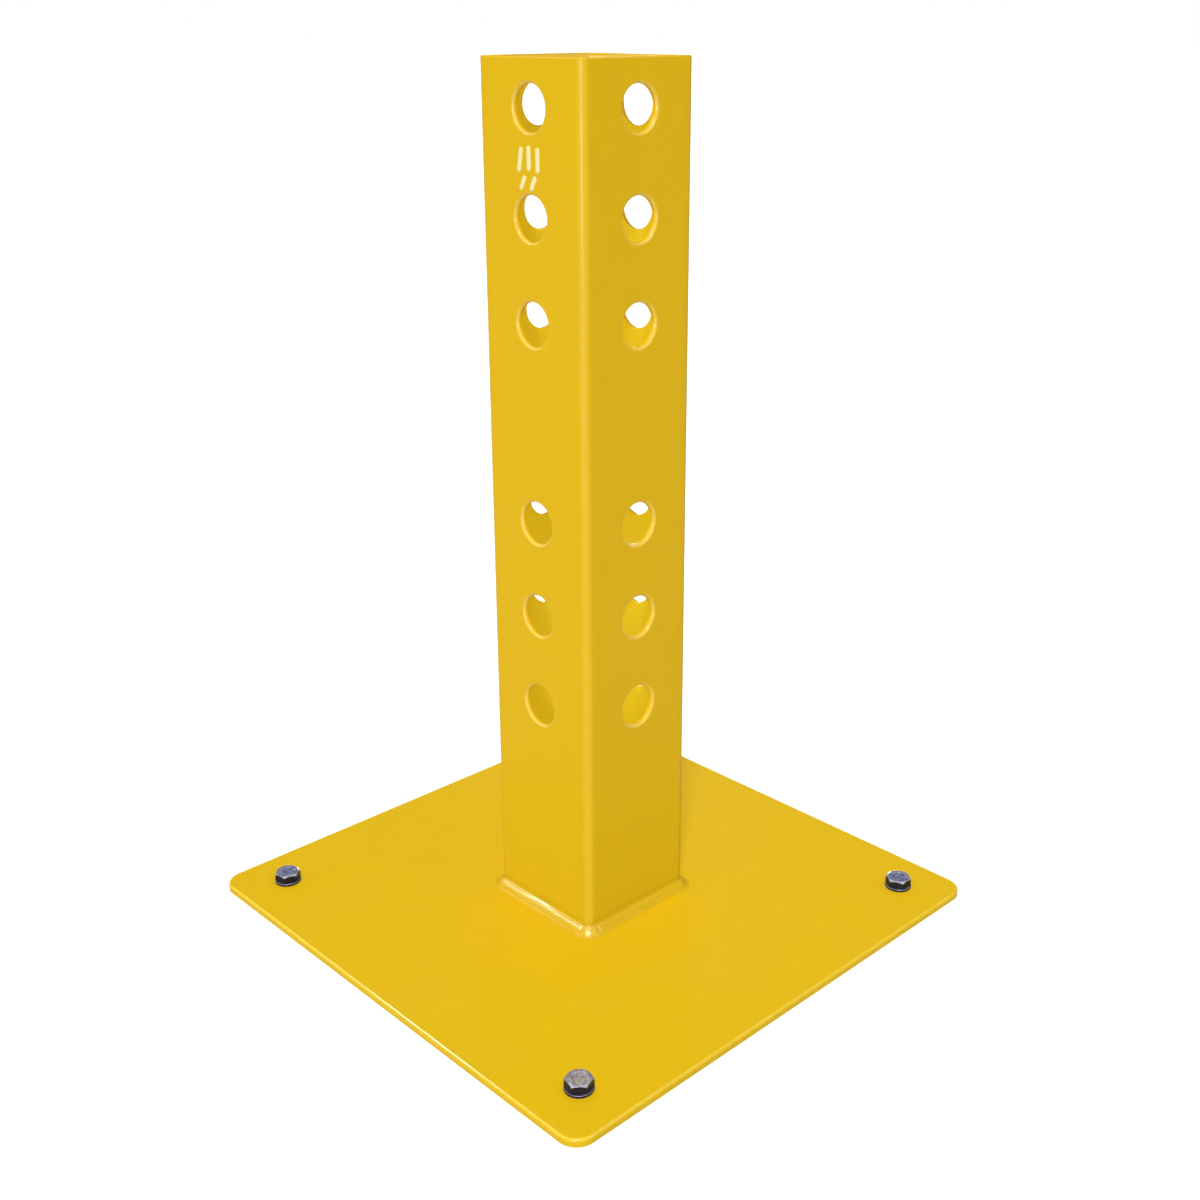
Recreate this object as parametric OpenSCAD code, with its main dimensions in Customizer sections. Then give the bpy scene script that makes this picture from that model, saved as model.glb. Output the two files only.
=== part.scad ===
// Steel safety bollard: a square tube post, drilled through for rails, welded on a
// square base plate that four anchor bolts hold down. The origin is at the centre of
// the base plate's underside, +Z up, and the front is -Y. Millimetres throughout.

/* [Post] */
// Height from the floor to the top of the post
total_h = 620; // [480:5:900]
// Outside width of the square tube
post_w = 100; // [76:1:130]
// Wall thickness of the square tube
wall_t = 4; // [3:0.5:6]
// Outside radius of the tube's four corners
post_corner_r = 6; // [5:0.5:10]

/* [Rail holes] */
// Diameter of each rail hole
hole_d = 30; // [20:0.5:40]
// Radius of the roll that punching leaves round the outer rim of each rail hole
hole_roll = 2.2; // [0.5:0.1:2.6]
// Distance from one hole position to the next
hole_pitch = 69; // [56:1:84]
// Distance from the top of the post to the centre of the top hole
top_hole_drop = 31; // [28:1:60]
// Hole positions from the top that are drilled, counted from 0
hole_places = [0, 1, 2, 4, 5, 6];

/* [Base plate] */
// Width of the square base plate
plate_w = 410; // [320:5:600]
// Thickness of the base plate
plate_t = 6; // [5:0.5:12]
// Radius of the base plate's corners
plate_corner_r = 15; // [4:1:30]
// Distance from the plate's edges to each bolt's centre
bolt_inset = 37; // [28:1:60]
// Clearance of the plate's holes around the anchor sleeves, on the diameter
bolt_hole_clearance = 2; // [0.5:0.25:4]

/* [Top cap] */
// Thickness of the cap plate that closes the tube
cap_t = 4; // [3:0.5:6]
// Depth of the cap's top face below the end of the tube
cap_recess = 3; // [2:0.5:5]
// Gap between the cap's edges and the inside of the tube
cap_gap = 0.3; // [0.1:0.1:1]

/* [Welds] */
// Leg of the fillet weld round the post's foot
foot_weld_leg = 6; // [3:0.5:9]
// Leg of the seal weld round the cap
cap_weld_leg = 2.5; // [1.5:0.5:4]
// Height of a weld's crown above the flat of its fillet, as a share of its leg
weld_crown = 0.12; // [0:0.02:0.2]

/* [Anchor bolts] */
// Thread diameter of the anchor bolts
bolt_d = 10; // [8:1:14]
// Width of the bolt heads across their flats
head_af = 17; // [13:1:24]
// Height of the bolt heads
head_h = 6.4; // [5:0.1:10]
// Outside diameter of the flat washers
washer_d = 20; // [18:1:30]
// Thickness of the flat washers
washer_t = 2; // [1:0.1:4]
// Clearance of the washers' holes around the bolts, on the diameter
washer_clearance = 0.5; // [0.2:0.1:1.5]
// Wall thickness of the anchor sleeves
sleeve_t = 0.9; // [0.5:0.1:2]
// Clearance of the anchor sleeves around the bolts, on the diameter
sleeve_clearance = 0.2; // [0.1:0.1:1]

/* [Hidden] */
$fn = 96;

inner_w = post_w - 2 * wall_t;
inner_corner_r = post_corner_r - wall_t;
cap_top_z = total_h - cap_recess;
bolt_xy = plate_w / 2 - bolt_inset;
sleeve_bore = bolt_d + sleeve_clearance;
sleeve_d = sleeve_bore + 2 * sleeve_t;
bolt_hole_d = sleeve_d + bolt_hole_clearance;
head_z = plate_t + washer_t;
head_chamfer = 0.15 * head_h;
crown_points = 9;
cut = 1;

// Corners in the order of the names: front left, front right, back right, back left
CORNERS = [[-1, -1], [1, -1], [1, 1], [-1, 1]];
// Where each bolt head came to rest when it was tightened, in degrees
HEAD_TURNS = [12, 48, 27, 5];

coat = "#e6bb1d";
zinc = "#aab0ba";

// A square of width w with its corners rounded to radius r
module rounded_square(w, r) {
    square([w - 2 * r, w], center = true);
    square([w, w - 2 * r], center = true);
    for (c = CORNERS) translate([c[0] * (w / 2 - r), c[1] * (w / 2 - r)]) circle(r = r);
}

// Points of a fillet weld's section: legs along +X and +Y from the root, crowned face
function fillet_face(leg) = [
    for (i = [0 : crown_points - 1])
        let (t = i / (crown_points - 1), lift = 4 * weld_crown * t * (1 - t) * sqrt(0.5))
            [leg * (1 - t + lift), leg * (t + lift)]
];

module fillet_section(leg) polygon(concat([[0, 0]], fillet_face(leg)));

// One run of a fillet weld round a square of width w and corner radius r: the straight
// along its -Y side, and then the bend round its corner at +X -Y
module weld_run(w, r, leg) {
    straight = w - 2 * r;
    translate([-straight / 2, -w / 2, 0])
        rotate([90, 0, 90])
            linear_extrude(height = straight)
                mirror([1, 0]) fillet_section(leg);
    translate([straight / 2, -straight / 2, 0])
        rotate([0, 0, -90])
            rotate_extrude(angle = 90)
                translate([r, 0]) fillet_section(leg);
}

module at_bolt(i) {
    translate([CORNERS[i][0] * bolt_xy, CORNERS[i][1] * bolt_xy, 0]) children();
}

module ring(outer_d, inner_d, h) {
    difference() {
        cylinder(d = outer_d, h = h);
        translate([0, 0, -cut]) cylinder(d = inner_d, h = h + 2 * cut);
    }
}

// What is cut away round a hole's outer rim: all that stands outside a quarter round
module rolled_rim() {
    translate([0, 0, post_w / 2 - hole_roll])
        rotate_extrude()
            difference() {
                square([hole_d / 2 + hole_roll, hole_roll + cut]);
                translate([hole_d / 2 + hole_roll, 0]) circle(r = hole_roll);
            }
}

module post_tube() {
    color(coat) difference() {
        translate([0, 0, plate_t])
            linear_extrude(height = total_h - plate_t)
                rounded_square(post_w, post_corner_r);
        translate([0, 0, plate_t - cut])
            linear_extrude(height = total_h - plate_t + 2 * cut)
                rounded_square(inner_w, inner_corner_r);
        for (place = hole_places)
            translate([0, 0, total_h - top_hole_drop - place * hole_pitch])
                for (turn = [0 : 90 : 270])
                    rotate([90, 0, turn]) {
                        cylinder(d = hole_d, h = post_w / 2 + cut);
                        rolled_rim();
                    }
    }
}

module base_plate() {
    color(coat) difference() {
        linear_extrude(height = plate_t) rounded_square(plate_w, plate_corner_r);
        for (i = [0 : 3])
            at_bolt(i) translate([0, 0, -cut]) cylinder(d = bolt_hole_d, h = plate_t + 2 * cut);
    }
}

module top_cap() {
    color(coat)
        translate([0, 0, cap_top_z - cap_t])
            linear_extrude(height = cap_t)
                rounded_square(inner_w - 2 * cap_gap, inner_corner_r);
}

// The seal weld fills the corner between the cap's top face and the tube's inside
module cap_weld() {
    color(coat)
        translate([0, 0, cap_top_z])
            intersection() {
                linear_extrude(height = cap_weld_leg) rounded_square(inner_w, inner_corner_r);
                union() {
                    for (turn = [0 : 90 : 270])
                        rotate([0, 0, turn])
                            translate([-inner_w / 2, -inner_w / 2, 0])
                                rotate([90, 0, 90])
                                    linear_extrude(height = inner_w) fillet_section(cap_weld_leg);
                }
            }
}

module foot_weld(side) {
    color(coat)
        translate([0, 0, plate_t])
            rotate([0, 0, 90 * side])
                weld_run(post_w, post_corner_r, foot_weld_leg);
}

module bolt(i) {
    corner_r = head_af / 2 / cos(30);
    color(zinc) at_bolt(i) {
        cylinder(d = bolt_d, h = head_z);
        translate([0, 0, head_z])
            rotate([0, 0, HEAD_TURNS[i]])
                intersection() {
                    cylinder(r = corner_r, h = head_h, $fn = 6);
                    union() {
                        cylinder(r = corner_r, h = head_h - head_chamfer);
                        translate([0, 0, head_h - head_chamfer])
                            cylinder(r1 = corner_r, r2 = head_af / 2 * 0.96, h = head_chamfer);
                    }
                }
    }
}

module washer(i) {
    color(zinc)
        at_bolt(i)
            translate([0, 0, plate_t]) ring(washer_d, bolt_d + washer_clearance, washer_t);
}

module sleeve(i) {
    color(zinc) at_bolt(i) ring(sleeve_d, sleeve_bore, plate_t);
}

post_tube();
base_plate();
top_cap();
cap_weld();
foot_weld(0);  // foot_weld_front
foot_weld(1);  // foot_weld_right
foot_weld(2);  // foot_weld_back
foot_weld(3);  // foot_weld_left
bolt(0);  // bolt_front_left
bolt(1);  // bolt_front_right
bolt(2);  // bolt_back_right
bolt(3);  // bolt_back_left
washer(0);  // washer_front_left
washer(1);  // washer_front_right
washer(2);  // washer_back_right
washer(3);  // washer_back_left
sleeve(0);  // sleeve_front_left
sleeve(1);  // sleeve_front_right
sleeve(2);  // sleeve_back_right
sleeve(3);  // sleeve_back_left
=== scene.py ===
import math

import bmesh
import bpy
import numpy as np
from mathutils import Matrix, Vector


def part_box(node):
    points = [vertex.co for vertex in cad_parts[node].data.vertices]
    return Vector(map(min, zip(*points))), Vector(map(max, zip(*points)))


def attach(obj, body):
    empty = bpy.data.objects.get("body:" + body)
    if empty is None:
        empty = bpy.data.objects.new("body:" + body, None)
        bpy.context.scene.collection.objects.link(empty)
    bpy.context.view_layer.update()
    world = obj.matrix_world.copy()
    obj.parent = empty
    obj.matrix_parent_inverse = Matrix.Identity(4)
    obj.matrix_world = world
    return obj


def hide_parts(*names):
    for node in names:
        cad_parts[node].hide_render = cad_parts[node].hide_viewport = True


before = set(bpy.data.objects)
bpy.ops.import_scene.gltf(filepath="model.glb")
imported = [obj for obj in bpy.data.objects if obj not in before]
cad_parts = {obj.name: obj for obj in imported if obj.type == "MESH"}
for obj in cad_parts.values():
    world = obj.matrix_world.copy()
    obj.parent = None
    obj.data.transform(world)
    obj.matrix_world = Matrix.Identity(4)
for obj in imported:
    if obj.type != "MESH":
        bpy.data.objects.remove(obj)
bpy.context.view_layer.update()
MM = 0.001


# ---------------------------------------------------------------------------------------
# Base plate. A 410 mm square of 6 mm steel plate, cut with rounded corners and drilled near
# each corner for an anchor. Its upper edge is eased before it is powder coated, so that the
# coat runs over it in one soft bend.
# ---------------------------------------------------------------------------------------
_, plate_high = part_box("base_plate")
PLATE_HALF, PLATE_TOP = plate_high.x, plate_high.z
PLATE_CORNER_R = 15 * MM
PLATE_EASE, PLATE_BURR = 1.9 * MM, 0.6 * MM  # radii of the upper and the lower edge
PLATE_BAND = 0.6 * MM  # flat rim between the patches and the bend of the edge
ANCHOR_XY = PLATE_HALF - 37 * MM
ANCHOR_HOLE_R = 7 * MM
ANCHOR_CELL = 34 * MM  # from an anchor's centre to the inner sides of its patch
BORE_EDGE = 0.5 * MM  # radius of a hole's sharper edges
MIDDLE_STEPS, CELL_STEPS, CLIMB_STEPS, CORNER_STEPS = 24, 20, 12, 16
MERGE_WITHIN, TOO_SHORT = 3e-6, 1e-7  # points nearer than this merge, and shorter edges go

# The powder coat's colours: its even film, where it is thick, where it goes paler at edges as a
# thinner coat and in part a painted highlight, and its dust
COAT_YELLOW = (0.765, 0.475, 0.003)
COAT_DEEP = (0.71, 0.42, 0.001)
COAT_THIN_AND_HIGHLIGHT = (0.90, 0.68, 0.16)
COAT_DUST = (0.52, 0.40, 0.16)

# Outward normal of each side and the direction along it: front, right, back and left
SIDES = [(np.array(n, float), np.array(t, float)) for n, t in
         (((0, -1), (1, 0)), ((1, 0), (0, 1)), ((0, 1), (-1, 0)), ((-1, 0), (0, -1)))]


def points_at(x, y):
    """(x, y) points from two rows of numbers, or from a row and one number for the other."""
    return np.column_stack(np.broadcast_arrays(x, y))


def point_rows(flat, up, wear=0.0):
    """(x, y) points lifted to the height up, with their share of edge wear as a fourth number."""
    return np.column_stack([flat, np.ones(len(flat)) * up, np.ones(len(flat)) * wear])


def grid_of(*rows):
    """Stacks rows of (x, y, z, wear) points into one grid, a row of the surface to each column."""
    return np.stack(rows, 1)


def rounded_loop(sides, apothem, corner_r, share, bend_steps):
    """Closed loop of a polygon with rounded corners, and its outward normals.

    Side k faces the angle 2 pi k / sides, counted from -Y. On it the point is
    normal * apothem + along * share * (apothem - corner_r) * tan(pi / sides), for the values of
    share, and round the next corner it is the corner's centre + corner_r * direction, as the
    direction turns evenly from one normal to the next.
    """
    points, normals = [], []
    reach = (apothem - corner_r) * math.tan(math.pi / sides)
    for k in range(sides):
        angle = 2 * math.pi * k / sides - math.pi / 2
        n = np.array([math.cos(angle), math.sin(angle)])
        t = np.array([-n[1], n[0]])
        points.append(n * apothem + t * (share * reach)[:, None])
        normals.append(np.repeat(n[None], len(share), 0))
        turn = angle + np.linspace(0, 2 * math.pi / sides, bend_steps + 1)
        turned = points_at(np.cos(turn), np.sin(turn))
        points.append(n * (apothem - corner_r) + t * reach + corner_r * turned)
        normals.append(turned)
    points, normals = np.concatenate(points), np.concatenate(normals)
    return np.vstack([points, points[:1]]), np.vstack([normals, normals[:1]])


def carried(loop, profile):
    """Profile of (out, up, wear) carried along a loop: point + normal * out, at height up."""
    points, normals = loop
    return grid_of(*[point_rows(points + normals * out, up, wear) for out, up, wear in profile])


def bend_of(out, up, radius, start, turn, wear=1.0, steps=6):
    """Bend in a profile: centre + radius * (cos a, sin a), as a goes from start by turn.

    The angles are in quarter turns, and wear rises to its full value half way round.
    """
    share = np.linspace(0, 1, steps + 1)
    angle = (start + turn * share) * math.pi / 2
    lift = wear * np.sin(math.pi * share)
    return [(out + radius * math.cos(a), up + radius * math.sin(a), w) for a, w in zip(angle, lift)]


def hole_cell(border, bottom_steps, centre, radius, front_roll, back_roll, thick,
              wear=1.0, far=0.0):
    """A patch of wall with a hole, as a grid over the turn round the hole and the way through.

    border is a closed loop of (across, up) points that starts at its lower left corner and
    takes bottom_steps steps to the next one. Each point slides in a straight line from the
    border to the circle of the rolled rim, follows a quarter arc into the bore, goes through
    it, and comes back to the border on the far face. Returns (across, up, depth, wear), with
    wear at its full value half way round the rim, and at far on the far face.
    """
    count = len(border) - 1
    angle = 2 * math.pi * (np.arange(count + 1) - bottom_steps / 2) / count - math.pi / 2
    ray = points_at(np.cos(angle), np.sin(angle))
    front_rim, back_rim = radius + front_roll, radius + back_roll
    # In to the rim, over it into the bore, out at the far face, and back to the border
    rows = []
    for share in (0, 0.3, 0.58, 0.8, 0.94):
        rows.append((border * (1 - share) + (centre + ray * front_rim * 1.03) * share, 0, 0))
    rows.append((centre + ray * (front_rim + 0.3 * MM), 0, 0))
    for q in np.linspace(0, 1, 7):
        a = q * math.pi / 2
        rows.append((centre + ray * (front_rim - front_roll * math.sin(a)),
                     front_roll * (1 - math.cos(a)), wear * math.sin(math.pi * q)))
    for q in np.linspace(0, 1, 4):
        a = q * math.pi / 2
        rows.append((centre + ray * (back_rim - back_roll * math.cos(a)),
                     thick - back_roll * (1 - math.sin(a)), far * q))
    for share in (0.9, 0.6, 0):
        rows.append((border * (1 - share) + (centre + ray * back_rim * 1.04) * share, thick, far))
    return grid_of(*[point_rows(flat, depth, worn) for flat, depth, worn in rows])


def solid_piece(name, grids):
    """One closed mesh from grids of (x, y, z, wear) points that share their borders.

    Coincident points are merged, so that seams and poles close, and the faces are then turned
    outwards. The fourth number becomes the attribute "wear".
    """
    points, faces, start = [], [], 0
    for grid in grids:
        rows, cols = grid.shape[:2]
        index = np.arange(rows * cols).reshape(rows, cols) + start
        corners = index[:-1, :-1], index[1:, :-1], index[1:, 1:], index[:-1, 1:]
        faces.append(np.stack(corners, -1).reshape(-1, 4))
        points.append(grid.reshape(-1, 4))
        start += rows * cols
    points, faces = np.concatenate(points), np.concatenate(faces)
    mesh = bpy.data.meshes.new(name)
    mesh.from_pydata(points[:, :3], [], faces)
    mesh.attributes.new("wear", "FLOAT", "POINT").data.foreach_set(
        "value", points[:, 3].astype(np.float32))
    bm = bmesh.new()
    bm.from_mesh(mesh)
    bmesh.ops.remove_doubles(bm, verts=bm.verts, dist=MERGE_WITHIN)
    bmesh.ops.dissolve_degenerate(bm, edges=bm.edges, dist=TOO_SHORT)
    bmesh.ops.recalc_face_normals(bm, faces=bm.faces)
    bm.to_mesh(mesh)
    bm.free()
    mesh.polygons.foreach_set("use_smooth", np.ones(len(mesh.polygons), bool))
    piece = bpy.data.objects.new(name, mesh)
    bpy.context.scene.collection.objects.link(piece)
    return piece


def fitted(piece, material, slot, *nodes):
    """Gives a finished piece its material and puts it in place of its CAD nodes."""
    piece.data.materials.append(material)
    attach(piece, "root")
    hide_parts(*nodes)
    return piece


def quarter_turns(grid, k):
    """A grid turned by k quarter turns round the upright axis."""
    c, s = (1, 0, -1, 0)[k], (0, 1, 0, -1)[k]
    turned = grid.copy()
    turned[..., 0] = c * grid[..., 0] - s * grid[..., 1]
    turned[..., 1] = s * grid[..., 0] + c * grid[..., 1]
    return turned


def plate_surface():
    """Plate: four drilled corner cells, four side strips, the middle, and the edge carried round.

    The edge's profile is a quarter bend of radius PLATE_EASE at the top, a straight drop, and
    a quarter bend of radius PLATE_BURR at the bottom.
    """
    inner = ANCHOR_XY - ANCHOR_CELL
    flat_half = PLATE_HALF - PLATE_EASE - PLATE_BAND
    flat_r = PLATE_CORNER_R - PLATE_EASE - PLATE_BAND
    middle = np.linspace(-inner, inner, MIDDLE_STEPS + 1)
    across = np.linspace(inner, flat_half, CELL_STEPS + 1)
    climb = np.linspace(inner, flat_half - flat_r, CLIMB_STEPS + 1)
    turn = np.linspace(0, math.pi / 2, CORNER_STEPS + 1)
    corner = (flat_half - flat_r) + flat_r * points_at(np.cos(turn), np.sin(turn))
    border = np.concatenate([
        points_at(across, inner)[:-1], points_at(flat_half, climb)[:-1], corner[:-1],
        points_at(climb[::-1], flat_half)[:-1], points_at(inner, across[::-1])])
    cell = hole_cell(border, CELL_STEPS, np.array([ANCHOR_XY, ANCHOR_XY]), ANCHOR_HOLE_R,
                     BORE_EDGE, BORE_EDGE, PLATE_TOP)
    cell[..., 2] = PLATE_TOP - cell[..., 2]
    grids = []
    for k in range(4):
        grids.append(quarter_turns(cell, k))
        for up in (0.0, PLATE_TOP):
            strip = grid_of(*[point_rows(points_at(x, middle), up) for x in across])
            grids.append(quarter_turns(strip, k))
    for up in (0.0, PLATE_TOP):
        grids.append(grid_of(*[point_rows(points_at(x, middle), up) for x in middle]))
    share = np.concatenate([-climb[::-1], middle[1:-1], climb]) / (flat_half - flat_r)
    edge = [(0, PLATE_TOP, 0)]
    edge += bend_of(PLATE_BAND, PLATE_TOP - PLATE_EASE, PLATE_EASE, 1, -1, steps=8)
    edge += bend_of(PLATE_BAND + PLATE_EASE - PLATE_BURR, PLATE_BURR, PLATE_BURR, 0, -1, 0.6, 4)
    edge += [(0, 0, 0)]
    grids.append(carried(rounded_loop(4, flat_half, flat_r, share, CORNER_STEPS), edge))
    return grids


def node_group(name, inputs, outputs):
    """An empty shader node group, with the names of its inputs and outputs, all numbers."""
    group = bpy.data.node_groups.new(name, "ShaderNodeTree")
    for way, sockets in (("INPUT", inputs), ("OUTPUT", outputs)):
        for socket in sockets:
            group.interface.new_socket(socket, in_out=way, socket_type="NodeSocketFloat")
    return group, group.nodes.new("NodeGroupInput"), group.nodes.new("NodeGroupOutput")


def plug(tree, value, socket):
    """Feeds an input socket: with a link from another socket, or with a constant."""
    if isinstance(value, bpy.types.NodeSocket):
        tree.links.new(value, socket)
    else:
        socket.default_value = value


def put(tree, kind, settings=(), **feeds):
    """Adds a shader node. settings are its own properties.

    feeds are what goes into its sockets, each under the socket's name, with _ for a space, or
    under _ and the socket's number.
    """
    node = tree.nodes.new("ShaderNode" + kind)
    for key, value in dict(settings).items():
        setattr(node, key, value)
    for key, value in feeds.items():
        place = int(key[1:]) if key[1:].isdigit() else key.replace("_", " ")
        plug(tree, value, node.inputs[place])
    return node


def grain(tree, where, scale, detail, rough=0.5):
    """Noise of this many grains to the metre, read at the point where."""
    noise = put(tree, "TexNoise", Vector=where, Scale=scale, Detail=detail, Roughness=rough)
    return noise.outputs["Fac"]


def span(tree, value, low, high, to_low=0.0, to_high=1.0):
    """Takes a value from low..high to to_low..to_high, clamped, with eased ends."""
    return put(tree, "MapRange", {"interpolation_type": "SMOOTHSTEP"}, _0=value, _1=low, _2=high,
               _3=to_low, _4=to_high).outputs[0]


def times(tree, a, b):
    """The product of two numbers."""
    return put(tree, "Math", {"operation": "MULTIPLY"}, _0=a, _1=b).outputs[0]


def plus(tree, a, b):
    """The sum of two numbers."""
    return put(tree, "Math", {"operation": "ADD"}, _0=a, _1=b).outputs[0]


def blend_colour(tree, share, a, b):
    """Mixes two colours, each a socket or three numbers, by share."""
    node = put(tree, "Mix", {"data_type": "RGBA"}, _0=share)
    for socket, value in ((node.inputs[6], a), (node.inputs[7], b)):
        plug(tree, (*value, 1) if isinstance(value, tuple) else value, socket)
    return node.outputs[2]


# Powder flows together as it bakes: low broad orange peel, with a fine pimple on top of it
coat_relief, at, out = node_group("powder_relief", ["Peel", "Pimple"], ["Height", "Film"])
where = put(coat_relief, "TexCoord").outputs["Object"]
peel = times(coat_relief, grain(coat_relief, where, 520, 1.5, 0.4), at.outputs["Peel"])
pimple = times(coat_relief, grain(coat_relief, where, 2100, 2.0), at.outputs["Pimple"])
plug(coat_relief, plus(coat_relief, peel, pimple), out.inputs["Height"])
clouds = times(coat_relief, grain(coat_relief, where, 34, 4.0, 0.6), 0.6)
flecks = times(coat_relief, grain(coat_relief, where, 190, 3.0, 0.6), 0.4)
film = plus(coat_relief, clouds, flecks)
plug(coat_relief, span(coat_relief, film, 0.32, 0.68), out.inputs["Film"])

# Edge wear: the coat draws back from sharp edges, in an uneven line
edge_wear, at, out = node_group("edge_wear", ["Amount", "Grain"], ["Mask"])
where = put(edge_wear, "TexCoord").outputs["Object"]
worn = put(edge_wear, "Attribute", {"attribute_name": "wear"}).outputs["Fac"]
ragged = grain(edge_wear, where, at.outputs["Grain"], 4.0)
worn = times(edge_wear, worn, span(edge_wear, ragged, 0.28, 0.72, 0.45, 1.0))
plug(edge_wear, times(edge_wear, worn, at.outputs["Amount"]), out.inputs["Mask"])

# Dust and scuffs: fine dirt that settles where a surface faces up, and a few faint rub marks
settled, at, out = node_group("settled_dirt", ["Amount"], ["Mask", "Rub"])
where = put(settled, "TexCoord").outputs["Object"]
facing = put(settled, "SeparateXYZ", _0=put(settled, "NewGeometry").outputs["Normal"]).outputs["Z"]
patches = times(settled, span(settled, grain(settled, where, 11, 5.0, 0.62), 0.42, 0.75),
                span(settled, facing, 0.1, 0.95, 0.25, 1.0))
plug(settled, times(settled, patches, at.outputs["Amount"]), out.inputs["Mask"])
stretch = put(settled, "Mapping", _0=where, Scale=(90, 14, 30), Rotation=(0.2, 0.1, 0.6)).outputs[0]
rub = span(settled, grain(settled, stretch, 1.0, 5.0, 0.65), 0.60, 0.78)
plug(settled, times(settled, rub, at.outputs["Amount"]), out.inputs["Rub"])


def powder_coat(name, base=COAT_YELLOW, deep=COAT_DEEP, thin_and_highlight=COAT_THIN_AND_HIGHLIGHT, inside_lit=None, peel=1.0,
                wear=0.6, dirt=0.1, rough=0.3, skin=0.8, skin_rough=0.12):
    """Yellow powder coat.

    The film is of the colour base, goes towards deep where it is thick, and turns a paler
    colour with a skin of gloss where it draws round an edge: a thinner coat, and in part a painted
    highlight. Where the attribute "wear" falls below nought it takes a paler, brighter colour,
    painted light that lifts the shade on the tube's inner side. Dust and rub marks make it duller.
    """
    material = bpy.data.materials.new(name)
    material.use_nodes = True
    tree = material.node_tree
    shader = tree.nodes["Principled BSDF"]
    relief = put(tree, "Group", {"node_tree": coat_relief}, Peel=peel, Pimple=0.3 * peel)
    film = relief.outputs["Film"]
    edge = put(tree, "Group", {"node_tree": edge_wear}, Amount=wear, Grain=260.0).outputs["Mask"]
    dust = put(tree, "Group", {"node_tree": settled}, Amount=dirt)
    worn = put(tree, "Attribute", {"attribute_name": "wear"}).outputs["Fac"]

    colour = blend_colour(tree, span(tree, film, 0, 1, 0.0, 0.16), base, deep)
    # Edges and rims go paler: a thinner coat there, and in part a painted highlight
    colour = blend_colour(tree, edge, colour, thin_and_highlight)
    colour = blend_colour(tree, times(tree, dust.outputs["Mask"], 0.35), colour, COAT_DUST)
    # On the tube's inner side the colour goes paler and brighter: painted light that lifts its
    # shade
    if inside_lit:
        colour = blend_colour(tree, times(tree, worn, -1.0), colour, inside_lit)
    plug(tree, colour, shader.inputs["Base Color"])

    gloss = plus(tree, span(tree, film, 0, 1, rough - 0.04, rough + 0.06),
                 times(tree, dust.outputs["Rub"], 0.35))
    gloss = plus(tree, gloss, times(tree, dust.outputs["Mask"], 0.2))
    plug(tree, gloss, shader.inputs["Roughness"])
    shader.inputs["Specular IOR Level"].default_value = 0.2
    plug(tree, span(tree, worn, 0, 0.6, 0.0, skin), shader.inputs["Coat Weight"])
    shader.inputs["Coat Roughness"].default_value = skin_rough

    bump = put(tree, "Bump", Strength=0.2, Distance=0.2 * MM, Height=relief.outputs["Height"])
    plug(tree, bump.outputs[0], shader.inputs["Normal"])
    return material


# The plate's eased edge turns a brighter yellow: a thinner coat there, and in part a painted
# highlight
plate_coat = powder_coat("plate_powder_coat", base=(0.765, 0.49, 0.004), deep=(0.71, 0.435, 0.002),
                         thin_and_highlight=(0.97, 0.70, 0.06), rough=0.42, peel=0.7)
plate = fitted(solid_piece("plate_of_steel", plate_surface()), plate_coat, "yellow_coat",
               "base_plate")
# The light that the plate throws back would make the foot of the post glow, so it throws none
plate.visible_diffuse = False


# ---------------------------------------------------------------------------------------
# Post. A length of 100 mm square steel tube with 4 mm walls and rounded corners. Six rail
# holes are punched in each wall from outside, which rolls their outer rims over, and the
# blank place in the middle of the row stays solid.
# ---------------------------------------------------------------------------------------
post_low, post_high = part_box("post_tube")
POST_HALF = post_high.x
POST_FOOT, POST_TOP = post_low.z, post_high.z
WALL = 4 * MM
POST_CORNER_R = 6 * MM
HOLE_R = 15 * MM
HOLE_ROLL = 2.2 * MM
HOLE_PITCH = 69 * MM
TOP_HOLE_Z = POST_TOP - 31 * MM
HOLE_PLACES, BLANK_PLACE = (0, 1, 2, 4, 5, 6), 3
# How far the rims and the corners go paler: a thinner coat, and in part a painted highlight
RIM_WEAR_AND_HIGHLIGHT, CORNER_WEAR = 0.9, 0.18
TUBE_END_R = 0.8 * MM
TUBE_BAND = 0.5 * MM  # flat rim between the walls' patches and the bend of the tube's end
CORNER_BAND = 0.8 * MM  # flat strip between the walls' patches and the bends of the corners
ACROSS_STEPS, UP_STEPS, FOOT_STEPS, BEND_STEPS = 28, 20, 12, 12

# The tube's inner side, marked by a wear below nought, takes a paler, brighter yellow: painted
# light that lifts its shade
INSIDE = -1.0
COAT_INSIDE_LIT = (0.806, 0.642, 0.022)


def on_wall(side, sheet):
    """A sheet of (across, up, depth, wear) laid on one wall of the post.

    The point is normal * (half - depth) + along * across, at height up.
    """
    n, t = SIDES[side]
    flat = (POST_HALF - sheet[..., 2:3]) * n + sheet[..., 0:1] * t
    return np.concatenate([flat, sheet[..., 1:2], sheet[..., 3:4]], -1)


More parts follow.
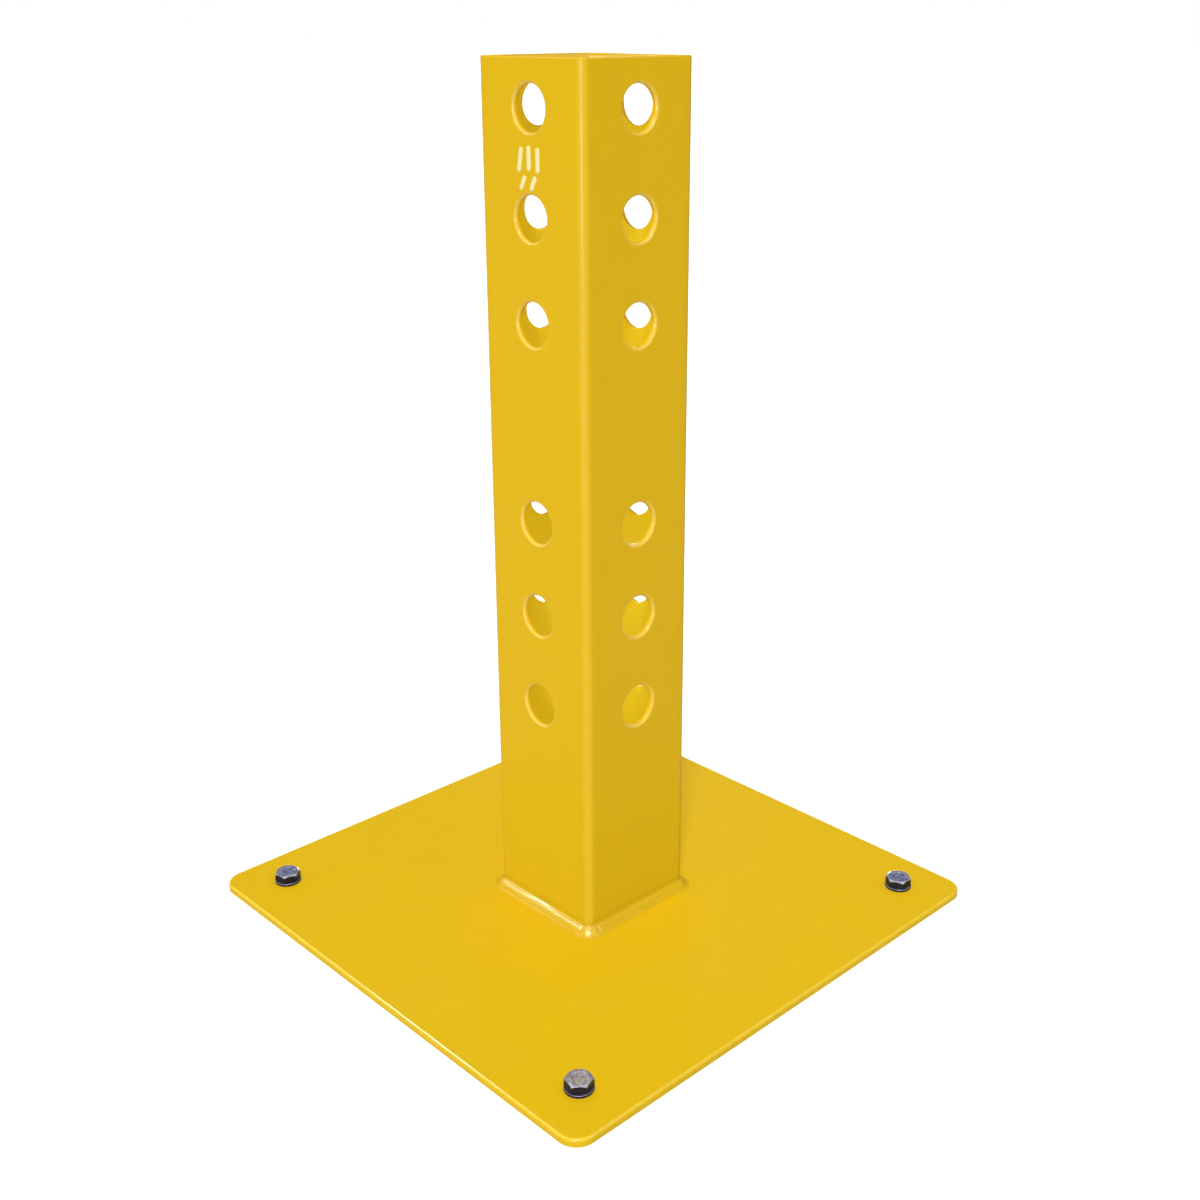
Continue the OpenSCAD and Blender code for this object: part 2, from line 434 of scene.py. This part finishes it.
def post_surface():
    """Post: per wall a column of drilled cells, and between the walls the bent corners.

    Each corner is (half - r) * (n + t) + (r - depth) * (n cos b + t sin b), b over a quarter
    turn, and both ends are closed by a profile carried round the tube.
    """
    straight = POST_HALF - POST_CORNER_R
    reach = straight - CORNER_BAND
    across = np.linspace(-reach, reach, ACROSS_STEPS + 1)
    end_z = POST_TOP - TUBE_END_R - TUBE_BAND
    grids, levels = [], []
    for place in range(HOLE_PLACES[-1] + 1):
        centre = TOP_HOLE_Z - place * HOLE_PITCH
        high = min(centre + HOLE_PITCH / 2, end_z)
        up = np.linspace(centre - HOLE_PITCH / 2, high, UP_STEPS + 1)
        levels.append(up)
        if place in HOLE_PLACES:
            border = np.concatenate([
                points_at(across, up[0])[:-1], points_at(reach, up)[:-1],
                points_at(across[::-1], up[-1])[:-1], points_at(-reach, up[::-1])])
            cell = hole_cell(border, ACROSS_STEPS, np.array([0, centre]), HOLE_R, HOLE_ROLL,
                             BORE_EDGE, WALL, RIM_WEAR_AND_HIGHLIGHT, INSIDE)
            grids += [on_wall(side, cell) for side in range(4)]
    levels.append(np.linspace(POST_FOOT, levels[-1][0], FOOT_STEPS + 1))
    for up in (levels[BLANK_PLACE], levels[-1]):
        for depth, worn in ((0, 0), (WALL, INSIDE)):
            wide, tall = np.meshgrid(across, up, indexing="ij")
            sheet = np.stack([wide, tall, wide * 0 + depth, wide * 0 + worn], -1)
            grids += [on_wall(side, sheet) for side in range(4)]
    up = np.unique(np.round(np.concatenate(levels), 9))
    bend = np.linspace(0, math.pi / 2, BEND_STEPS + 1)
    outer_worn = np.concatenate([[0], np.sin(2 * bend), [0]]) * CORNER_WEAR
    for n, t in SIDES:
        turned = np.cos(bend)[:, None] * n + np.sin(bend)[:, None] * t
        for depth, worn in ((0, outer_worn), (WALL, np.full(len(outer_worn), INSIDE))):
            path = np.vstack([n * (POST_HALF - depth) + t * reach,
                              (n + t) * straight + turned * (POST_CORNER_R - depth),
                              t * (POST_HALF - depth) + n * reach])
            strip = np.empty((len(path), len(up), 4))
            strip[..., :2] = path[:, None]
            strip[..., 2] = up
            strip[..., 3] = worn[:, None]
            grids.append(strip)
    loop = rounded_loop(4, POST_HALF, POST_CORNER_R, across / straight, BEND_STEPS)
    end = [(0, end_z, 0)]
    end += bend_of(-TUBE_END_R, POST_TOP - TUBE_END_R, TUBE_END_R, 0, 1, 0.3)
    end += bend_of(-WALL + TUBE_END_R, POST_TOP - TUBE_END_R, TUBE_END_R, 1, 1, 0.2)
    end += [(-WALL, end_z, INSIDE)]
    grids.append(carried(loop, end))
    grids.append(carried(loop, [(0, POST_FOOT, 0), (-WALL, POST_FOOT, INSIDE)]))
    return grids


post_coat = powder_coat("post_powder_coat", inside_lit=COAT_INSIDE_LIT, dirt=0.08, wear=0.7, rough=0.38,
                        peel=0.6)
fitted(solid_piece("post_of_square_tube", post_surface()), post_coat, "yellow_coat", "post_tube")


# ---------------------------------------------------------------------------------------
# Foot welds. Four runs of fillet weld, each along one side of the post and round the next
# corner, laid by hand in short overlapping ripples and coated over with the rest.
# ---------------------------------------------------------------------------------------
FOOT_LEG = 6 * MM
FOOT_RIPPLE, FOOT_RIPPLE_HEIGHT = 2.9 * MM, 0.17 * MM
RUN_OVERLAP = 7 * MM  # how far a run goes on past its bend, over the start of the next one
RUN_HIGHLIGHT_SKINS = (1.0, 0.25, 0.6, 0.5)  # how pale and glossy each run's skin is: the coat drawn thinner, and in part a painted highlight, palest on the front run
FACE_STEPS = 14
FACE_WEAR, CREST_WEAR = 0.5, 0.35
# As shares of the leg: how far a face bows out and sways, how deep the root lies in the steel,
# and the coat past the upright toe as (out, up)
FACE_BOW, FACE_SWAY, ROOT_BURY = 0.08, 0.035, 0.04
TOE_COAT = ((0.0, 1.22), (0.012, 1.12), (0.045, 1.04))


def weld_bead(path, normals, leg, ripple, height, rise, seed=0.0, closed=False, skin=1.0):
    """A run of fillet weld: a section carried along the path, with ripples across it.

    At length s and share t from the upright toe to the flat toe the face is the straight line
    between the toes, bowed out by (FACE_BOW leg + sway) sin(pi t) + height * crest. The crest is
    (1 - |2 f - 1|) ** 1.4 * sin(pi t) ** 0.7, where f is the fraction of s / ripple +
    0.32 sin(pi t) + a slow drift. A closed run has a whole number of ripples, and no sway or
    drift. Past each toe the coat feathers out on the steel. An open run swells from nothing at
    each end, as sqrt(1 - (1 - s / (0.55 leg)) ** 2). rise is the height of the root, and the
    wear of the face is skin * (FACE_WEAR + CREST_WEAR * crest).
    """
    steps = np.linalg.norm(np.diff(path, axis=0), axis=1)
    s = np.concatenate([[0], np.cumsum(steps)])
    length, share = np.meshgrid(s, np.linspace(0, 1, FACE_STEPS + 1), indexing="ij")
    arch = np.sin(math.pi * share)
    if closed:
        phase = length / s[-1] * round(s[-1] / ripple) + 0.32 * arch
        sway = 0
    else:
        drift = 0.22 * np.sin(length / (5.3 * ripple) * 2 + seed)
        phase = length / ripple + 0.32 * arch + drift
        sway = FACE_SWAY * leg * np.sin(length / (3.1 * ripple) + seed)
    crest = (1 - np.abs(2 * (phase % 1) - 1)) ** 1.4 * arch ** 0.7
    lift = (FACE_BOW * leg * arch + height * crest + sway * arch) * math.sqrt(0.5)

    # What comes before and after the face in the section, as (out, up)
    bury = ROOT_BURY * leg
    toe = np.array(TOE_COAT) * leg
    before = np.vstack([[(-bury, -bury), (-bury, toe[0, 1])], toe])
    after = np.vstack([toe[::-1, ::-1], [(toe[0, 1], -bury), (-bury, -bury)]])
    every = np.ones((len(s), 1))
    out = np.hstack([every * before[:, 0], leg * share + lift, every * after[:, 0]])
    up = np.hstack([every * before[:, 1], leg * (1 - share) + lift, every * after[:, 1]])
    worn = np.hstack([np.zeros((len(s), len(before))),
                      skin * (FACE_WEAR + CREST_WEAR * crest),
                      np.zeros((len(s), len(after)))])
    if not closed:
        tip = np.clip(np.minimum(s, s[-1] - s) / (0.55 * leg), 0, 1)
        swell = np.sqrt(1 - (1 - tip) ** 2)[:, None]
        out, up = out * swell, up * swell
    grid = np.empty(out.shape + (4,))
    grid[..., :2] = path[:, None] + normals[:, None] * out[..., None]
    grid[..., 2] = rise + up
    grid[..., 3] = worn
    return [grid]


# The welds' yellow is a little darker than the plate's: painted shade that offsets the stronger
# light on their sloped faces
weld_coat = powder_coat("weld_powder_coat", base=(0.72, 0.45, 0.003), deep=(0.66, 0.39, 0.001),
                        wear=0.12, peel=0.5, rough=0.4, skin=0.95, skin_rough=0.2)
straight = POST_HALF - POST_CORNER_R
run = np.linspace(-1, 1, 241)[:, None] * straight
turn = np.linspace(0, math.pi / 2, 33)[1:, None]
lead = np.linspace(0, 1, 25)[1:, None] * RUN_OVERLAP
for side, facing in enumerate(("front", "right", "back", "left")):
    n, t = SIDES[side]
    turned = np.cos(turn) * n + np.sin(turn) * t
    path = np.vstack([n * POST_HALF + run * t,
                      (n + t) * straight + turned * POST_CORNER_R,
                      t * POST_HALF + n * (straight - lead)])
    normals = np.vstack([np.repeat(n[None], len(run), 0), turned,
                         np.repeat(t[None], len(lead), 0)])
    bead = weld_bead(path, normals, FOOT_LEG, FOOT_RIPPLE, FOOT_RIPPLE_HEIGHT, PLATE_TOP,
                     seed=1.7 * side, skin=RUN_HIGHLIGHT_SKINS[side])
    fitted(solid_piece("weld_at_" + facing, bead), weld_coat, "yellow_coat",
           "foot_weld_" + facing)


# ---------------------------------------------------------------------------------------
# Cap. A loose square of 4 mm plate dropped into the top of the tube and held 3 mm below its
# end, to keep rain out of the post.
# ---------------------------------------------------------------------------------------
cap_low, cap_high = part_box("top_cap")
CAP_CORNER_R = 2 * MM
CAP_EASE = 0.5 * MM


def cap_surface():
    """Cap: its loop shrunk to the middle on both faces, with a bend between them."""
    loop = rounded_loop(4, cap_high.x - CAP_EASE, CAP_CORNER_R - CAP_EASE,
                        np.linspace(-1, 1, 25), 8)
    faces = [grid_of(*[point_rows(loop[0] * share, up) for share in (0, 0.3, 0.6, 0.85, 1)])
             for up in (cap_low.z, cap_high.z)]
    edge = bend_of(0, cap_high.z - CAP_EASE, CAP_EASE, 1, -1, 0.5, 4)
    edge += bend_of(0, cap_low.z + CAP_EASE, CAP_EASE, 0, -1, 0.5, 4)
    return faces + [carried(loop, edge)]


fitted(solid_piece("cap_plate", cap_surface()), post_coat, "yellow_coat", "top_cap")


# ---------------------------------------------------------------------------------------
# Cap weld. One small seal bead that runs all the way round in the corner between the cap
# and the inside of the tube, and keeps water out.
# ---------------------------------------------------------------------------------------
SEAL_LEG = 2.4 * MM
SEAL_RIPPLE, SEAL_RIPPLE_HEIGHT = 1.9 * MM, 0.12 * MM

path, normals = rounded_loop(4, POST_HALF - WALL, POST_CORNER_R - WALL, np.linspace(-1, 1, 201), 8)
# The loop has a point twice where a side meets a bend, and a run needs each point once
keep = np.concatenate([[True], np.linalg.norm(np.diff(path, axis=0), axis=1) > TOO_SHORT])
seal = weld_bead(path[keep], -normals[keep], SEAL_LEG, SEAL_RIPPLE, SEAL_RIPPLE_HEIGHT,
                 cap_high.z, closed=True)
fitted(solid_piece("seal_weld", seal), weld_coat, "yellow_coat", "cap_weld")


# ---------------------------------------------------------------------------------------
# Plain mark. Five short raised bars pressed up in the front wall between its two top holes,
# in the place where a maker would put a mark. They say nothing.
# ---------------------------------------------------------------------------------------
MARK_Z = TOP_HOLE_Z - 0.5 * HOLE_PITCH - 1 * MM
MARK_RISE, MARK_ROOT = 0.55 * MM, 0.2 * MM  # height above the wall, and depth in it
# Across, up, half width and half length in mm, and lean in degrees
MARK_BARS = ((-9.0, 3.5, 1.9, 8.0, 80), (-0.5, 4.5, 1.9, 8.0, 90), (8.0, 3.5, 1.9, 8.0, 90),
             (-6.5, -11.0, 1.8, 5.2, 62), (3.5, -11.0, 1.8, 5.2, 62))


def turned_by(flat, angle):
    """(x, y) points turned by an angle."""
    c, s = math.cos(angle), math.sin(angle)
    return flat @ np.array([[c, s], [-s, c]])


def raised_bar(across, up, half_width, half_length, lean):
    """A low bar with round ends, as loops round its spine that shrink as they rise.

    At the angle a of a quarter arc the loop is half_width * cos(a) away from the spine, and
    stands MARK_RISE * sin(a) above the wall.
    """
    turn = np.linspace(0, 2 * math.pi, 49)
    ring = points_at(np.cos(turn), np.sin(turn))
    spine = points_at(np.where(ring[:, 0] >= 0, 1, -1) * (half_length - half_width), 0)
    centre = np.array([across * MM, MARK_Z + up * MM])

    def loop(width, depth, worn):
        flat = turned_by(spine + ring * width, math.radians(lean))
        return point_rows(flat * MM + centre, depth, worn)

    rows = [loop(0, MARK_ROOT, 0), loop(half_width, MARK_ROOT, 0)]
    for q in np.linspace(0, 1, 9):
        a = q * math.pi / 2
        rows.append(loop(half_width * math.cos(a), -MARK_RISE * math.sin(a), 0.8 * q))
    return on_wall(0, grid_of(*rows))


# The bars are pale cream, palest on their crowns: painted highlight for the light the raised
# strokes catch
mark_highlight_coat = powder_coat("mark_painted_highlight_coat", base=(0.93, 0.76, 0.30), deep=(0.90, 0.70, 0.22),
                        thin_and_highlight=(1.0, 0.92, 0.62), wear=1.0)
mark = solid_piece("plain_mark", [raised_bar(*bar) for bar in MARK_BARS])
mark.data.materials.append(mark_highlight_coat)
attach(mark, "root")


# ---------------------------------------------------------------------------------------
# Sleeves. The expansion sleeve of each anchor, rolled from thin strip steel, so a slit runs
# down it where the two edges of the strip face each other. Zinc plated.
# ---------------------------------------------------------------------------------------
CORNERS = {"front_left": (-1, -1), "front_right": (1, -1), "back_right": (1, 1),
           "back_left": (-1, 1)}
SLEEVE_BORE_R, SLEEVE_R = 5.1 * MM, 6 * MM
SLEEVE_EASE = 0.15 * MM
SLEEVE_SLIT = math.radians(13)
RING_STEPS = 96

# The zinc's colours: its two films, its warmer spots, the painted shade of its flanks and its
# bright edges
ZINC_SILVER = (0.42, 0.46, 0.66)
ZINC_BLUE = (0.13, 0.13, 0.40)
ZINC_STRAW = (0.62, 0.78, 0.66)
ZINC_FLANK_SHADE = (0.008, 0.008, 0.016)
ZINC_BRIGHT = (0.86, 0.87, 0.90)
ZINC_SPOTS = 330  # to the metre

# Passivated zinc: thin films of slightly different colours, and a fine brushed and pitted grain
zinc_film, _, out = node_group("zinc_film", [], ["Tint", "Warm", "Pit"])
where = put(zinc_film, "TexCoord").outputs["Object"]
cloud = grain(zinc_film, where, ZINC_SPOTS, 3.0)
plug(zinc_film, span(zinc_film, cloud, 0.35, 0.65), out.inputs["Tint"])
shifted = put(zinc_film, "Mapping", _0=where, Location=(0.3, 0.1, 0.2)).outputs[0]
warm = grain(zinc_film, shifted, ZINC_SPOTS, 2.0)
plug(zinc_film, span(zinc_film, warm, 0.52, 0.72), out.inputs["Warm"])
plug(zinc_film, grain(zinc_film, where, 3400, 3.0, 0.6), out.inputs["Pit"])


def zinc_plate(name, rough, wear=0.8, shade=0.0, silver=ZINC_SILVER, blue=ZINC_BLUE):
    """Blue passivated zinc on steel. shade paints the flanks darker the less they face up: painted
    shade.
    """
    material = bpy.data.materials.new(name)
    material.use_nodes = True
    tree = material.node_tree
    shader = tree.nodes["Principled BSDF"]
    film = put(tree, "Group", {"node_tree": zinc_film})
    edge = put(tree, "Group", {"node_tree": edge_wear}, Amount=wear, Grain=700.0).outputs["Mask"]
    facing = put(tree, "SeparateXYZ", _0=put(tree, "NewGeometry").outputs["Normal"]).outputs["Z"]
    flank_shade = times(tree, span(tree, facing, 0.25, 0.8, 1.0, 0.0), shade)

    colour = blend_colour(tree, times(tree, film.outputs["Tint"], 0.9), silver, blue)
    colour = blend_colour(tree, times(tree, film.outputs["Warm"], 0.35), colour, ZINC_STRAW)
    # Painted shade: the steep flanks go near black
    colour = blend_colour(tree, flank_shade, colour, ZINC_FLANK_SHADE)
    colour = blend_colour(tree, edge, colour, ZINC_BRIGHT)
    plug(tree, colour, shader.inputs["Base Color"])

    gloss = plus(tree, span(tree, film.outputs["Pit"], 0.3, 0.7, rough - 0.05, rough + 0.1),
                 times(tree, flank_shade, 0.2))
    plug(tree, gloss, shader.inputs["Roughness"])
    shader.inputs["Metallic"].default_value = 0.6
    shader.inputs["Specular IOR Level"].default_value = 0.25

    bump = put(tree, "Bump", Strength=0.25, Distance=0.06 * MM, Height=film.outputs["Pit"])
    plug(tree, bump.outputs[0], shader.inputs["Normal"])
    return material


def turned_ring(centre, profile, start=0.0, sweep=2 * math.pi):
    """A closed section of (radius, up, wear) swept round an upright axis at centre."""
    angle = start + np.linspace(0, sweep, RING_STEPS + 1)
    ray = points_at(np.cos(angle), np.sin(angle))
    return grid_of(*[point_rows(centre + ray * r, up, wear) for r, up, wear in profile])


def ring_section(inner, outer, low, high, ease, wear=1.0):
    """Section of a flat ring with its four edges eased, as a closed profile."""
    section = bend_of(outer - ease, high - ease, ease, 1, -1, wear, 4)
    section += bend_of(outer - ease, low + ease, ease, 0, -1, wear, 4)
    section += bend_of(inner + ease, low + ease, ease, -1, -1, wear, 4)
    section += bend_of(inner + ease, high - ease, ease, -2, -1, wear, 4)
    return section + section[:1]


sleeve_zinc = zinc_plate("sleeve_zinc", rough=0.34)
for corner, (cx, cy) in CORNERS.items():
    centre = np.array([cx, cy]) * ANCHOR_XY
    section = ring_section(SLEEVE_BORE_R, SLEEVE_R, 0.0, PLATE_TOP, SLEEVE_EASE, 0.5)
    slit_at = 0.6 + cx + 2 * cy  # each sleeve went in at its own angle
    tube = turned_ring(centre, section, slit_at, 2 * math.pi - SLEEVE_SLIT)
    # The strip's two edges, each from its outline to the middle of it
    edges = [np.stack([row, np.repeat(row.mean(0)[None], len(row), 0)])
             for row in (tube[0], tube[-1])]
    fitted(solid_piece("anchor_sleeve_" + corner, [tube] + edges), sleeve_zinc, "zinc_plate",
           "sleeve_" + corner)


# ---------------------------------------------------------------------------------------
# Washers. Flat washers punched from 2 mm strip and tumbled, which rounds their edges a
# little. Zinc plated, one under each bolt head, and coloured near black as painted shade.
# ---------------------------------------------------------------------------------------
WASHER_R, WASHER_BORE_R = 10 * MM, 5.25 * MM
WASHER_T = 2 * MM
WASHER_EASE = 0.35 * MM

# Near black films and darker flanks: painted shade under the bolt heads
shaded_washer_zinc = zinc_plate("shaded_washer_zinc", rough=0.30, wear=0.5, shade=0.9,
                         silver=(0.12, 0.12, 0.17), blue=(0.05, 0.05, 0.12))
for corner, (cx, cy) in CORNERS.items():
    centre = np.array([cx, cy]) * ANCHOR_XY
    section = ring_section(WASHER_BORE_R, WASHER_R, PLATE_TOP, PLATE_TOP + WASHER_T, WASHER_EASE)
    fitted(solid_piece("flat_washer_" + corner, [turned_ring(centre, section)]), shaded_washer_zinc,
           "zinc_plate", "washer_" + corner)


# ---------------------------------------------------------------------------------------
# Bolts. M10 hexagon heads, cold forged with a shallow dish in the top and turned corners,
# on a threaded shank that ends at floor level. Each head stopped at its own angle.
# ---------------------------------------------------------------------------------------
HEAD_FLATS = 17 * MM
HEAD_H = 6.4 * MM
HEAD_LOW = PLATE_TOP + WASHER_T
HEAD_CORNER_R = 0.5 * MM
HEAD_TURNED_R = 0.47 * HEAD_FLATS  # outside this radius the top falls away
HEAD_FALL = math.tan(math.radians(30))
HEAD_EDGE = 0.22 * MM
COLLAR_R, COLLAR_H = 7.9 * MM, 0.4 * MM  # the round bearing face under the head
THREAD_R, THREAD_DEPTH, THREAD_PITCH = 5 * MM, 0.85 * MM, 1.5 * MM
THREAD_RINGS = 64
HEAD_TURNS = {"front_left": 12, "front_right": 48, "back_right": 27, "back_left": 5}

# The head's top from its middle outwards: radius and dip in mm, and wear
HEAD_DISH = ((0, 0.3, 0), (2.5, 0.3, 0), (4.6, 0.28, 0), (5.2, 0.2, 0.2), (5.7, 0.06, 0.6),
             (6.1, 0, 0.4), (6.8, 0, 0), (7.4, 0, 0))
# The turned corners' slope: share of the way from its start to the outline, and wear
HEAD_SLOPE = ((0, 0.8), (0.35, 0.5), (0.7, 0.2))
# How the slope bends over into the flats: inset from the outline and drop in mm, and wear
HEAD_RIM = ((0.3, 0.0, 0.5), (0.1, 0.06, 1.0), (0.0, 0.25, 0.6), (0.0, 0.6, 0))


def bolt_surface(centre, turn):
    """Bolt: rows of rings from the middle of the head's top down to the end of the shank.

    The head's outline is a hexagon with rounded corners. Its top falls away at 30 degrees
    outside HEAD_TURNED_R, so that it dips lowest at the corners. The shank's radius is
    THREAD_R - THREAD_DEPTH * |2 f - 1|, where f is the fraction of height / pitch + turns.
    """
    hexagon, _ = rounded_loop(6, HEAD_FLATS / 2, HEAD_CORNER_R, np.linspace(-1, 1, 13), 6)
    hexagon = turned_by(hexagon, turn)
    radius = np.linalg.norm(hexagon, axis=1)
    ray = hexagon / radius[:, None]
    top = HEAD_LOW + HEAD_H

    def fallen(r):
        return top - np.maximum(0, r - HEAD_TURNED_R) * HEAD_FALL

    rows = [(ray * r * MM, top - dip * MM, worn) for r, dip, worn in HEAD_DISH]
    rows.append((ray * (HEAD_TURNED_R - 0.25 * MM), top, 0.3))
    first = HEAD_TURNED_R + 0.2 * MM
    for share, worn in HEAD_SLOPE:
        r = first + (radius - first) * share
        rows.append((ray * r[:, None], fallen(r), worn))
    for inset, drop, worn in HEAD_RIM:
        r = radius - inset * MM
        rows.append((ray * r[:, None], fallen(r) - drop * MM, worn))
    foot = HEAD_LOW + COLLAR_H
    rows += [(hexagon, foot + 1.0 * MM, 0), (hexagon, foot + HEAD_EDGE, 0),
             (hexagon - ray * HEAD_EDGE, foot, 0.5), (ray * COLLAR_R, foot, 0),
             (ray * COLLAR_R, HEAD_LOW, 0), (ray * (THREAD_R + 0.25 * MM), HEAD_LOW, 0)]
    turns = np.arctan2(ray[:, 1], ray[:, 0]) / (2 * math.pi)
    for z in np.linspace(HEAD_LOW - 0.2 * MM, 0, THREAD_RINGS + 1):
        f = (z / THREAD_PITCH + turns) % 1
        r = THREAD_R - THREAD_DEPTH * np.abs(2 * f - 1)
        rows.append((ray * r[:, None], z, 0))
    rows.append((ray * 0, 0, 0))
    return grid_of(*[point_rows(flat + centre, up, worn) for flat, up, worn in rows])


# The heads' flanks go near black: painted shade
bolt_zinc = zinc_plate("bolt_zinc", rough=0.22, shade=0.97)
for corner, (cx, cy) in CORNERS.items():
    centre = np.array([cx, cy]) * ANCHOR_XY
    surface = bolt_surface(centre, math.radians(HEAD_TURNS[corner]))
    fitted(solid_piece("anchor_bolt_" + corner, [surface]), bolt_zinc, "zinc_plate",
           "bolt_" + corner)


# ---------------------------------------------------------------------------------------
# Studio. A plain pale floor that is clear from below, a white sky, and far soft lights: a
# key from the front right, low ones from the front and behind that reach the walls and not
# the plate, fills that cast no shadow, and a broad one overhead. Then the camera.
# ---------------------------------------------------------------------------------------
WHITE = (1, 1, 1, 1)
FLOOR_GREY = (0.45, 0.45, 0.45, 1)
FLOOR_Z = -0.1 * MM  # a little clear of the plate's underside
FLOOR_GLOW = 0.8  # what the camera sees on top of the light that falls on the floor
SKY_STRENGTH = 0.12

scene = bpy.context.scene
scene.view_settings.view_transform = "Standard"

turn = np.linspace(0, 2 * math.pi, 97)
floor_rings = [point_rows(points_at(np.cos(turn), np.sin(turn)) * r, FLOOR_Z)
               for r in (0, 0.5, 2, 8, 40)]
floor = solid_piece("floor", [grid_of(*floor_rings)])
if floor.data.polygons[0].normal.z < 0:
    floor.data.flip_normals()
paper = bpy.data.materials.new("studio_floor")
paper.use_nodes = True
paper_tree = paper.node_tree
paper_shader = paper_tree.nodes["Principled BSDF"]
paper_shader.inputs["Base Color"].default_value = FLOOR_GREY
paper_shader.inputs["Roughness"].default_value = 0.9
paper_shader.inputs["Specular IOR Level"].default_value = 0.1
paper_shader.inputs["Emission Color"].default_value = WHITE
lit = put(paper_tree, "LightPath").outputs["Is Camera Ray"]
plug(paper_tree, times(paper_tree, lit, FLOOR_GLOW), paper_shader.inputs["Emission Strength"])
below = put(paper_tree, "NewGeometry").outputs["Backfacing"]
clear = put(paper_tree, "BsdfTransparent").outputs[0]
seen = put(paper_tree, "MixShader", _0=below, _1=paper_shader.outputs[0], _2=clear).outputs[0]
plug(paper_tree, seen, paper_tree.nodes["Material Output"].inputs["Surface"])
floor.data.materials.append(paper)
floor.visible_shadow = False

sky = bpy.data.worlds.new("studio_sky")
sky.use_nodes = True
sky_tree = sky.node_tree
dome = sky_tree.nodes["Background"]
dome.inputs["Color"].default_value = WHITE
dome.inputs["Strength"].default_value = SKY_STRENGTH
lit = put(sky_tree, "LightPath").outputs["Is Camera Ray"]
backdrop = put(sky_tree, "Background", Color=WHITE).outputs[0]
seen = put(sky_tree, "MixShader", _0=lit, _1=dome.outputs[0], _2=backdrop).outputs[0]
plug(sky_tree, seen, sky_tree.nodes["World Output"].inputs["Surface"])
scene.world = sky


def stood(name, data, axes, place=(0, 0, 0)):
    """A lamp or a camera put in the scene, with its three axes and its place."""
    matrix = np.eye(4)
    matrix[:3, :3] = np.column_stack(axes)
    matrix[:3, 3] = place
    holder = bpy.data.objects.new(name, data)
    holder.matrix_world = Matrix(matrix.tolist())
    scene.collection.objects.link(holder)
    return holder


def soft_light(name, direction, strength, spread, shadows=True):
    """A broad far light from a direction, as wide across as spread in degrees."""
    light = bpy.data.lights.new(name, "SUN")
    light.energy = strength
    light.angle = math.radians(spread)
    light.use_shadow = shadows
    away = np.array(direction, float) / np.linalg.norm(direction)
    side = np.cross([0, 1, 0], away)
    side /= np.linalg.norm(side)
    stood(name, light, (side, np.cross(away, side), away))


soft_light("key_light", (0.42, -0.45, 0.79), 1.45, 8)
soft_light("front_light", (0.51, -0.86, -0.02), 0.35, 12)
soft_light("front_fill", (0.51, -0.86, -0.02), 1.1, 20, shadows=False)
soft_light("left_light", (-0.65, -0.42, 0.63), 0.9, 5, shadows=False)
soft_light("right_light", (0.86, 0.30, 0.41), 0.42, 20, shadows=False)
soft_light("back_light", (-0.70, 0.71, -0.02), 1.9, 6)
soft_light("top_light", (0.05, 0.05, 1.0), 0.97, 80)
soft_light("under_light", (0.05, -0.05, -1.0), 0.5, 60, shadows=False)

# The camera looks against the direction back, and roll turns it about that line
CAMERA_PLACE = (0.746149, -0.690904, 0.643731)
AZIMUTH, ELEVATION, ROLL = math.radians(45.97), math.radians(19.241), math.radians(-0.022)
lens = bpy.data.cameras.new("studio_camera")
lens.lens = 45.047
lens.sensor_width = 36
lens.shift_x = -0.01667
lens.shift_y = -0.05
back = np.array([math.sin(AZIMUTH) * math.cos(ELEVATION), -math.cos(AZIMUTH) * math.cos(ELEVATION),
                 math.sin(ELEVATION)])
right = np.array([math.cos(AZIMUTH), math.sin(AZIMUTH), 0])
above = np.cross(back, right)
axes = (right * math.cos(ROLL) + above * math.sin(ROLL),
        above * math.cos(ROLL) - right * math.sin(ROLL), back)
scene.camera = stood("studio_camera", lens, axes, CAMERA_PLACE)
